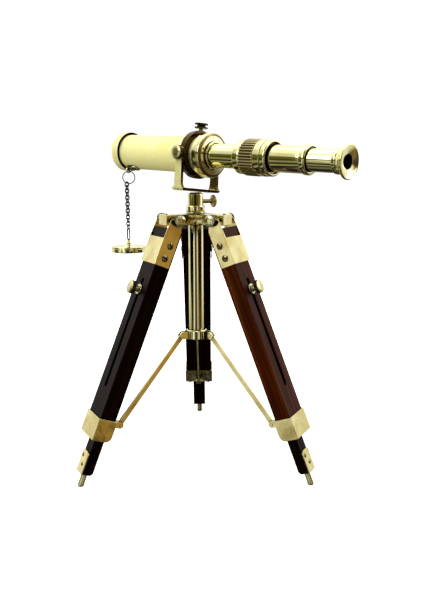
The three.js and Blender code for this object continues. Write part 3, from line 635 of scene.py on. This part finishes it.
def telescope():
    """The tubes with their rings and lenses, the screw on the band and the bracket below it."""
    at = TELESCOPE
    barrel = [[-88.9, 15.4], [12.5, 15.4], [12.5, 14], [-88.9, 14]]
    piece("barrel_tube", lathe(barrel, pick=in_bore), at, "telescope", SATIN, "barrel", inside=BLACK_BORE_AND_SHADOW)
    bezel = [
        [-94.5, 17.2, 0.3],
        [-93.7, 17.6, 0.5],
        [-89.2, 17.6, 0.4],
        [-88.9, 17.25, 0.2],
        [-88.4, 17.25, 0.2],
        [-88.1, 17.6, 0.4],
        [-85.6, 17.6, 0.2],
        [-85.6, 17.1],
        [-87.4, 16.9],
        [-87.4, 15.7],
        [-89.2, 15.7],
        [-89.2, 13.2],
        [-90.4, 13.2],
        [-90.4, 16.9],
        [-94.5, 16.9],
    ]
    ring = lathe(bezel, pick=bore_or_rear)
    piece("bezel_ring", ring, at, "telescope", SATIN, "objective_bezel", inside=BLACK_BORE_AND_SHADOW, edge=DARK_BRASS)
    glass = [[-88.8, 0, 0], [-88.6, 5, 1], [-87.9, 13.6, 0.2], [-84.9, 13.6, 0.2], [-84.5, 0, 0]]
    piece("front_lens", lathe(glass), at, "telescope", GLASS, "objective_lens")
    band = [
        [-3, 20, 0.35],
        [3, 20, 0.35],
        [3, 15.7],
        [-3, 15.7],
    ]
    piece("pivot_band", lathe(band, SIDES["ring"]), at, "telescope", DARK_BRASS, "saddle_band")
    cap = [
        [9.5, 18.5, 0.3],
        [14.2, 18.5, 0.3],
        [14.5, 18.2, 0.1],
        [14.8, 18.5, 0.3],
        [16.4, 18.5, 0.9],
        [17.7, 15.4, 0.5],
        [17.7, 12.0, 0.3],
        [18.2, 11.8, 0.3],
        [19.6, 11.6, 0.5],
        [20, 11.0, 0.3],
        [20, 9.9],
        [12.8, 9.9],
        [12.8, 15.7],
        [9.5, 15.7],
    ]
    cap = lathe(cap, SIDES["ring"], pick=shoulder_or_collar)
    piece("rear_cap_turned", cap, at, "telescope", BRASS, "rear_cap", inside=BROWN_SHADE_BRASS, edge=DARK_BRASS)
    draw = [[-18, 13.7], [-13, 13.7], [-13, 9.6], [49.5, 9.6], [49.5, 8.9], [-18, 8.9]]
    tube = lathe(draw, pick=in_bore)
    piece("first_draw_tube", tube, at, "first_draw", BRASS, "draw_tube_1", inside=BLACK_BORE_AND_SHADOW)
    relay = [[-17.5, 0, 0], [-17, 8.6, 0.2], [-14, 8.6, 0.2], [-13.5, 0, 0]]
    piece("relay_lens", lathe(relay), at, "first_draw", GLASS, "erector_lens")
    grip = [
        [47.9, 12.9, 0.3],
        [48.7, 13.6, 0.6],
        [53.8, 13.6, 0.5],
        [54.6, 13.2, 0.2],
        [55.0, 13.2, 0.1],
        [55.3, 14.3, 0.15],
        [55.9, 14.5, 0.2],
        [68.2, 14.5, 0.2],
        [68.8, 14.3, 0.15],
        [69.0, 13.5, 0.1],
        [69.4, 13.5, 0.1],
        [69.8, 14.3, 0.3],
        [75.7, 14.3, 0.3],
        [75.7, 10.65],
        [49.8, 10.65],
        [49.8, 9.9],
        [47.9, 9.9],
    ]
    grip = lathe(grip, RIBS[2] * RIB_SIDES, RIBS, on_ribs)
    piece("focus_grip_ribbed", grip, at, "focus_grip", BRASS, "focus_grip", inside=RIBBED, crease=50)
    ring = [
        [76.1, 14, 0.3],
        [80.1, 14, 0.7],
        [80.8, 13.3, 0.3],
        [80.8, 12.2, 0.3],
        [78.2, 11.8, 0.3],
        [78.2, 10.65],
        [76.1, 10.65],
    ]
    piece("focus_ring_turned", lathe(ring, SIDES["ring"]), at, "second_draw", BRASS, "focus_ring")
    draw = [[60, 10.35], [109.6, 10.35], [109.6, 9.4], [60, 9.4]]
    tube = lathe(draw, pick=in_bore)
    piece("second_draw_tube", tube, at, "second_draw", BRASS, "draw_tube_2", inside=BLACK_BORE_AND_SHADOW)
    field = [[61.4, 0, 0], [62, 9.1, 0.2], [64.4, 9.1, 0.2], [65, 0, 0]]
    piece("field_lens_ground", lathe(field), at, "second_draw", GLASS, "field_lens")
    collar = [
        [109.9, 10.8, 0.3],
        [110.4, 11.3, 0.3],
        [113.9, 11.3, 0.8],
        [114.9, 10.5, 0.4],
        [114.9, 9.9, 0.2],
        [114.1, 9.7],
        [114.1, 8.8],
        [109.9, 8.8],
    ]
    piece("draw_collar_turned", lathe(collar), at, "second_draw", BRASS, "draw_collar")
    draw = [[93, 9.1], [97, 9.1], [97, 8.5], [138, 8.5], [138, 7.7], [93, 7.7]]
    tube = lathe(draw, pick=in_bore)
    piece("third_draw_tube", tube, at, "third_draw", BRASS, "draw_tube_3", inside=BLACK_BORE_AND_SHADOW)
    cup = [
        [136.5, 9.0, 0.2],
        [136.9, 9.4, 0.4],
        [139.4, 9.4, 0.4],
        [140, 8.8, 0.3],
        [141.2, 9.1, 0.8],
        [143.2, 10.2, 1.0],
        [144.6, 12.2, 0.8],
        [145.2, 12.7, 0.3],
        [146.4, 12.7, 0.3],
        [146.9, 12.1, 0.3],
        [146.5, 9.5, 2.0],
        [145.3, 5.5, 0.3],
        [138.3, 5.5],
        [138.3, 8.8],
        [136.5, 8.8],
    ]
    cup = lathe(cup, SIDES["ring"], pick=in_bore)
    piece("eyepiece_flared", cup, at, "third_draw", BRASS, "eyepiece_cup", inside=BLACK_BORE_AND_SHADOW)
    eye = [[134, 0, 0], [134.6, 7.4, 0.2], [137, 7.4, 0.2], [137.4, 0, 0]]
    piece("eye_lens_ground", lathe(eye), at, "third_draw", GLASS, "eye_lens")
    shank = lathe([[17, 0, 0], [17, SHANK], [22, SHANK, 0.4], [22, 0, 0]], SIDES["shank"])
    head = knurled_head(*BAND_SCREW_HEAD, waist=True)
    stand = Matrix.Translation((0.8, 0, 0)) @ X_TO_Z
    both = joined([(shank, stand), (head, stand)])
    piece("band_thumb_screw", both, at, "band_screw", AGED, "band_screw", inside=KNURL_SHADE, crease=40)
    bracket = softened("chain_bracket", at, FINE_EASE)
    piece("chain_bracket_bent", bracket, at, "telescope", BRASS, "chain_bracket", flat=True)


# ------------------------------------------------------------------ yoke, post and crown


def yoke():
    """The yoke with its knobs and its post, and the crown with its sleeve, column and hub."""
    at = YOKE
    bent = softened("yoke", at, THICK_EASE, pick=inner_or_edge)
    piece("yoke_frame", bent, at, "yoke", BRUSHED, "yoke", inside=BROWN_SHADE_BRASS, edge=DARK_BRASS, flat=True)
    rivet = lathe([[-30.7, 0, 0], [-30.7, 3, 0.2], [-28.4, 3, 0.3], [-28.4, 0, 0]], SIDES["stem"])
    rivet = joined([(rivet, Matrix.Translation((-1.1, 0, 0)) @ X_TO_Z)])
    piece("post_rivet_peened", rivet, at, "yoke", BRASS, "post_rivet")
    for name, turn in (("left", pi), ("right", 0)):
        head = knurled_head(*PIVOT_HEAD)
        shank = lathe([[17, 0, 0], [17, SHANK], [24, SHANK], [24, 0, 0]], SIDES["shank"])
        both = joined([(part, Matrix.Rotation(turn, 4, "Z") @ X_TO_Y) for part in (head, shank)])
        knob = f"pivot_knob_{name}"
        piece(f"{knob}_knurled", both, at, knob, AGED, knob, inside=KNURL_SHADE, crease=40)
    post = [[226, 0, 0], [226, 4], [226.6, 4.6], [241.5, 4.6], [241.5, 5.1], [242, 5.1], [242, 0, 0]]
    piece("post_turned", joined([(lathe(post), X_TO_Z)]), COLUMN, "yoke", BRASS, "post")
    sleeve = [
        [224.4, 8.1, 0.3],
        [225.2, 8.1, 0.1],
        [225.5, 7.8, 0.1],
        [225.8, 8.1, 0.1],
        [230.2, 8.1, 0.4],
        [231, 7.6, 0.3],
        [231, 6.7, 0.2],
        [240.7, 6.7, 0.5],
        [241.2, 6.1, 0.3],
        [241.2, 4.9],
        [224.4, 4.9],
    ]
    sleeve = joined([(lathe(sleeve), X_TO_Z)])
    piece("post_sleeve_turned", sleeve, COLUMN, "tripod_head", BRASS, "post_sleeve")
    azimuth = atan2(*reversed(JOINTS["post_screw_turn"]["axis"][:2]))
    side = upright_frame(COLUMN_X, COLUMN_Y, place("post_screw_turn").z, azimuth)
    screw = [
        [5.4, 0, 0],
        [5.4, 1.7],
        [9.6, 1.7],
        [15.2, 1.7, 1.0],
        [16.2, 2.6, 0.5],
        [16.7, 4.6, 0.6],
        [17.2, 5.4, 0.3],
        [17.9, 5.4, 0.4],
        [18.6, 4.6, 0.6],
        [19.5, 2.4, 1.0],
        [19.7, 0, 0],
    ]
    piece("post_side_screw", lathe(screw, SIDES["side_screw"]), side, "post_screw", RIBBED, "post_screw")
    crown = softened("crown", COLUMN, THICK_EASE)
    piece("crown_arms", crown, COLUMN, "tripod_head", SHEET, "crown", flat=True)
    column = [[113.8, 0, 0], [113.8, 5.8, 0.2], [114.4, 6.4, 0.3], [214.8, 6.4], [214.8, 0, 0]]
    piece("column_polished", joined([(lathe(column), X_TO_Z)]), COLUMN, "tripod_head", BRASS, "column")
    hub = softened("spreader_hub", COLUMN, BAND_EASE)
    piece("spreader_hub_turned", hub, COLUMN, "spreader_hub", BRASS, "spreader_hub", flat=True)


# ------------------------------------------------------------------ legs


def screws(name, body, at, spots, size, out):
    """Slotted wood screws at local spots, heads facing along out."""
    head = slotted_screw(*size)
    face = Vector((1, 0, 0)).rotation_difference(Vector(out)).to_matrix().to_4x4()
    parts = []
    for spot, turn in zip(spots, SLOT_TURNS):
        parts.append((head, Matrix.Translation(spot) @ face @ Matrix.Rotation(turn, 4, "X")))
    # the screws' slots and the rings round their heads are painted shadow
    piece(name, joined(parts), at, body, RIBBED, inside=BLACK_BORE_AND_SHADOW, crease=25)


def leg(letter):
    """One leg with its brass, its screws and its brace."""
    at = LEG[letter]
    # leg b's upper rail takes the copy of the wood with the light painted in
    timber = LIT_WOOD if letter == "b" else DARK_WOOD
    upper, lower = f"leg_{letter}", f"lower_leg_{letter}"

    def shaped(name, node, body, finish, width):
        node = f"{node}_{letter}"
        piece(name, softened(node, at, width), at, body, finish, node, flat=True)

    shaped(f"upper_rail_{letter}", "upper_leg", upper, timber, THICK_EASE)
    shaped(f"lower_rail_{letter}", "lower_leg", lower, DARK_WOOD, THICK_EASE)
    shaped(f"leg_bracket_{letter}_sheet", "leg_bracket", upper, SHEET, SHEET_EASE)
    shaped(f"lower_band_{letter}_sheet", "lower_band", upper, SHEET, BAND_EASE)
    shaped(f"foot_plate_{letter}_sheet", "foot_plate", lower, SHEET, SHEET_EASE)
    shaped(f"foot_pin_{letter}_turned", "foot_pin", lower, BRASS, FINE_EASE)
    shaped(f"brace_{letter}", "spreader_arm", f"spreader_arm_{letter}", SHEET, SHEET_EASE)

    head = BACK_HINGE_HEAD if letter == "c" else HINGE_HEAD
    tail = BACK_HINGE_TAIL if letter == "c" else HINGE_TAIL
    for node, body, turn in (("hinge_bolt", "tripod_head", 0), ("hinge_nut", f"hinge_nut_{letter}", pi)):
        parts = [(knurled_head(*head), Matrix.Rotation(turn, 4, "Z") @ X_TO_Y)]
        if node == "hinge_bolt":
            shank = [[tail, 0, 0], [tail, SHANK], [15, SHANK], [15, 0, 0]]
            parts.append((lathe(shank, SIDES["shank"]), X_TO_Y))
        name = f"{node}_{letter}"
        piece(f"{name}_knurled", joined(parts), at, body, AGED, name, inside=KNURL_SHADE, crease=40)
    station = Matrix.Translation((0, 0, -CLAMP_STATION))
    stem = [
        [-3, 0, 0],
        [-3, 1.8],
        [6.2, 1.8],
        [6.2, 4.6, 0.3],
        [7.1, 4.6, 0.4],
        [7.4, 2.6, 0.4],
        [11.8, 2.6, 0.3],
        [11.8, 0, 0],
    ]
    stem = lathe(stem, SIDES["stem"])
    head = knurled_head(*CLAMP_HEAD)
    both = joined([(stem, station), (head, station)])
    clamp = f"clamp_screw_{letter}"
    piece(f"{clamp}_knurled", both, at, clamp, AGED, clamp, inside=KNURL_SHADE, crease=40)
    for name, way in (("near", -1), ("far", 1)):
        spots = [(x, way * STRAP_SIDE, z) for x, z in STRAP_SPOTS]
        screws(f"bracket_screws_{letter}_{name}", upper, at, spots, STRAP_SCREW, (0, way, 0))
    screws(f"band_screws_{letter}", upper, at, BAND_SPOTS, BAND_SCREW, (-1, 0, 0))
    screws(f"foot_screws_{letter}", lower, at, FOOT_SPOTS, FOOT_SCREW, (1, 0, 0))


# ------------------------------------------------------------------ ring, chain and cap


def hanging():
    """The split ring, the chain and the dust cap."""
    low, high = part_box("split_ring")
    middle = (low + high) / 2
    radius = (high.z - low.z) / 2 / MM - RING_INSET
    coil = []
    for k in range(RING_STEPS + 1):
        angle = RING_START + 4 * pi * k / RING_STEPS
        shift = RING_PITCH * (0.5 - k / RING_STEPS)
        coil.append(Vector((radius * sin(angle), shift, radius * cos(angle))))
    at = Matrix.Translation(middle) @ Matrix.Scale(MM, 4)
    ring = swept(coil, RING_WIRE, closed=False)
    piece("split_ring_coil", ring, at, "split_ring", STEEL, "split_ring")

    top, foot = place("chain_swing"), place("cap_swing")
    down = (foot - top).normalized()
    length = (foot - top).length / MM
    at = Matrix.Translation(top) @ down.to_track_quat("-Z", "Y").to_matrix().to_4x4() @ Matrix.Scale(MM, 4)
    chained = length - LAST_LENGTH
    count = round(chained / LINK_PITCH)
    pitch = chained / count
    link = swept(loop(pitch + 2 * LINK_WIRE, LINK_WIDTH), LINK_WIRE)
    parts = []
    for i in range(count):
        drop = Matrix.Translation((0, 0, -pitch * (i + 0.5) + 0.4))
        parts.append((link, drop @ Matrix.Rotation(radians(CHAIN_TWIST + 90 * (i % 2)), 4, "Z")))
    last = swept(loop(LAST_LENGTH, LAST_WIDTH), LAST_WIRE)
    drop = Matrix.Translation((0, 0, -length + LAST_LENGTH / 2 + 0.3))
    parts.append((last, drop @ Matrix.Rotation(radians(LAST_TWIST), 4, "Z")))
    piece("chain_links", joined(parts), at, "chain", STEEL, "chain")

    low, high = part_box("dust_cap")
    at = upright_frame((low.x + high.x) / 2, (low.y + high.y) / 2)
    cap = [
        [184.6, 15.2],
        [184.6, 16.0, 0.3],
        [185.2, 16.6, 0.3],
        [188.2, 16.6, 0.3],
        [188.5, 16.3, 0.1],
        [188.8, 16.6, 0.2],
        [190.0, 16.6, 0.5],
        [190.2, 15.8, 0.2],
        [189.8, 14.9, 0.3],
        [189.8, 4.8, 0.4],
        [190.5, 4.0, 0.4],
        [191.2, 2.2, 0.5],
        [192.4, 1.9, 0.3],
        [192.9, 2.7, 0.4],
        [193.4, 2.7, 0.4],
        [193.9, 1.9, 0.3],
        [195.4, 1.7, 0.5],
        [195.4, 0, 0],
        [188.2, 0, 0],
        [188.2, 15.2],
    ]
    cap = joined([(lathe(cap, SIDES["ring"]), X_TO_Z)])
    piece("dust_cap_turned", cap, at, "dust_cap", BRASS, "dust_cap")


telescope()
yoke()
for letter in LEGS:
    leg(letter)
hanging()


# ------------------------------------------------------------------ stage, light and camera


def staged(name, verts, material):
    mesh = bpy.data.meshes.new(name)
    mesh.from_pydata(verts, [], [tuple(range(len(verts)))])
    mesh.materials.append(material)
    made = bpy.data.objects.new(name, mesh)
    bpy.context.scene.collection.objects.link(made)
    return made


def softbox(name, spot, aim, size, power):
    light = bpy.data.lights.new(name, "AREA")
    light.shape = "RECTANGLE"
    light.size, light.size_y = size
    light.energy = power
    made = bpy.data.objects.new(name, light)
    bpy.context.scene.collection.objects.link(made)
    made.location = spot
    made.rotation_euler = (Vector(aim) - Vector(spot)).to_track_quat("-Z", "Y").to_euler()
    return made


FLOOR = 3  # half its width

# The floor is only seen: it glows white away from the object, and near it keeps a soft shadow.
pale = Shader("pale_floor", Roughness=0.8)
pale.main.inputs["Base Color"].default_value = (0.85, 0.85, 0.85, 1)
pale.main.inputs["Emission Color"].default_value = (1, 1, 1, 1)
away = pale.node("ShaderNodeVectorMath")
away.operation = "LENGTH"
pale.links.new(pale.place, away.inputs[0])
pale.to("Emission Strength", pale.ramp(away.outputs["Value"], (0.1, 0.55), (0.4, 1.0)))
corners = [(-FLOOR, -FLOOR, 0), (FLOOR, -FLOOR, 0), (FLOOR, FLOOR, 0), (-FLOOR, FLOOR, 0)]
floor = staged("floor", corners, pale.material)
floor.visible_glossy = False
floor.visible_diffuse = False


class Studio(Tree):
    """World light by direction: bright above, with darker sides and bands for the brass to reflect."""

    def __init__(self):
        world = bpy.data.worlds.new("studio")
        bpy.context.scene.world = world
        super().__init__(world)
        self.nodes.clear()
        coords = self.node("ShaderNodeTexCoord")
        self.split = self.node("ShaderNodeSeparateXYZ")
        self.links.new(coords.outputs["Generated"], self.split.inputs["Vector"])

    def span(self, name, low, high):
        """0 below low and 1 above high, in one coordinate of the light's direction."""
        made = self.node("ShaderNodeMapRange", From_Min=low, From_Max=high)
        made.interpolation_type = "SMOOTHSTEP"
        self.links.new(self.split.outputs[name], made.inputs["Value"])
        return made.outputs["Result"]

    def along(self, name, *stops):
        """Light against one coordinate of its direction, from -1 to 1."""
        half = self.node("ShaderNodeMapRange", From_Min=-1)
        self.links.new(self.split.outputs[name], half.inputs["Value"])
        return self.ramp(half.outputs["Result"], *((0.5 + 0.5 * at, light) for at, light in stops))

    def light(self, color, seen):
        """The world gives this light, but is seen itself as plain white."""
        sky = self.node("ShaderNodeBackground")
        white = self.node("ShaderNodeBackground", Strength=seen, Color=(1, 1, 1, 1))
        path = self.node("ShaderNodeLightPath")
        pick = self.node("ShaderNodeMixShader")
        out = self.node("ShaderNodeOutputWorld")
        self.links.new(color, sky.inputs["Color"])
        self.links.new(path.outputs["Is Camera Ray"], pick.inputs["Fac"])
        self.links.new(sky.outputs["Background"], pick.inputs[1])
        self.links.new(white.outputs["Background"], pick.inputs[2])
        self.links.new(pick.outputs["Shader"], out.inputs["Surface"])


# where one zone of the light turns into the next, in X or Y of its direction; the front is towards -Y
LEFT_TO_RIGHT = (-0.25, 0.25)
FRONT_LEFT_TO_RIGHT = (0.5, 0.7)
FRONT_TO_SIDE = (-0.48, -0.36)
SIDE_TO_BACK = (0.1, 0.3)
SEEN_WHITE = 1.1

studio = Studio()
left = studio.along(
    "Z",
    (-1, 0.3),
    (-0.75, 0.04),
    (-0.69, 0.02),
    (-0.65, (0.36, 0.34, 0.2)),
    (-0.58, (0.24, 0.23, 0.14)),
    (-0.52, 0.01),
    (-0.44, 0.02),
    (-0.35, (0.18, 0.17, 0.1)),
    (-0.25, (0.34, 0.33, 0.22)),
    (-0.14, (0.06, 0.06, 0.01)),
    (0.0, (0.05, 0.05, 0.01)),
    (0.08, (0.13, 0.12, 0.04)),
    (0.26, (0.1, 0.1, 0.02)),
    (0.36, 0.7),
    (0.6, 0.8),
    (0.72, 1.3),
    (1, 1.6),
)
right = studio.along(
    "Z",
    (-1, 0.02),
    (-0.45, (0.16, 0.1, 0.04)),
    (-0.25, (0.24, 0.15, 0.06)),
    (-0.1, 0.06),
    (0.0, (0.05, 0.03, 0.01)),
    (0.08, (0.15, 0.1, 0.05)),
    (0.2, 0.9),
    (1, 1.5),
)
front_left = studio.along(
    "Z",
    (-1, 0.03),
    (-0.55, 0.3),
    (-0.41, 0.65),
    (-0.25, 0.75),
    (0.05, 0.95),
    (0.09, (0.12, 0.11, 0.02)),
    (0.24, (0.12, 0.11, 0.02)),
    (0.33, 0.75),
    (0.6, 1.1),
)
front_right = studio.along(
    "Z",
    (-1, 0.02),
    (-0.5, (0.34, 0.25, 0.1)),
    (-0.25, (0.42, 0.28, 0.10)),
    (-0.05, (0.36, 0.22, 0.07)),
    (0.1, (0.2, 0.12, 0.05)),
    (0.25, 0.6),
    (0.6, 1.2),
)
back = studio.along(
    "Z",
    (-1, 0.02),
    (-0.7, 0.02),
    (-0.64, 0.4),
    (-0.57, 0.2),
    (-0.5, 0.02),
    (-0.4, 0.1),
    (-0.2, 0.8),
    (0.0, 0.9),
    (0.2, 1.0),
    (1, 1.6),
)
side = studio.mixed(studio.span("X", *LEFT_TO_RIGHT), left, right)
front = studio.mixed(studio.span("X", *FRONT_LEFT_TO_RIGHT), front_left, front_right)
flags = studio.along(
    "X",
    (-0.72, 1.0),
    (-0.68, 0.04),
    (-0.62, 0.04),
    (-0.56, 1.2),
    (-0.42, 1.2),
    (-0.3, 0.25),
    (-0.12, 0.04),
    (0.05, 0.03),
    (0.2, 0.2),
    (0.35, 0.75),
    (0.52, 0.8),
    (0.58, 0.02),
    (0.65, 0.02),
    (0.7, 1.0),
)
front = studio.mixed(1.0, front, flags, "MULTIPLY")
around = studio.mixed(studio.span("Y", *FRONT_TO_SIDE), front, side)
studio.light(studio.mixed(studio.span("Y", *SIDE_TO_BACK), around, back), SEEN_WHITE)

middle = (COLUMN_X, COLUMN_Y, 0.17)
barrel = (COLUMN_X - 0.05, COLUMN_Y, 0.275)
softbox("key", spot=(-0.9, -0.8, 0.9), aim=middle, size=(0.7, 0.7), power=4)
softbox("fill", spot=(1.1, 0.1, 0.7), aim=middle, size=(0.5, 0.9), power=2.5)
softbox("top", spot=(0.0, 0.1, 1.3), aim=middle, size=(1.0, 0.8), power=3)
low = softbox("low", spot=(-0.6, -0.25, 0.16), aim=barrel, size=(0.3, 0.2), power=0.3)
low.data.spread = radians(50)
low.visible_glossy = False

LENS = 38.77
CAMERA_SPOT = (0.0140, -0.5507, 0.2631)  # in metres, from the foot of the column's axis
CAMERA_DOWN = 11.375  # degrees below level
CAMERA_RIGHT = 0.82  # degrees from straight along Y
camera = bpy.data.cameras.new("camera")
camera.sensor_width = 36
camera.lens = LENS
camera.clip_start = 0.01
view = bpy.data.objects.new("camera", camera)
bpy.context.scene.collection.objects.link(view)
view.location = (COLUMN_X + CAMERA_SPOT[0], COLUMN_Y + CAMERA_SPOT[1], CAMERA_SPOT[2])
view.rotation_euler = (radians(90 - CAMERA_DOWN), 0, radians(-CAMERA_RIGHT))
bpy.context.scene.camera = view
bpy.context.scene.view_settings.view_transform = "Standard"
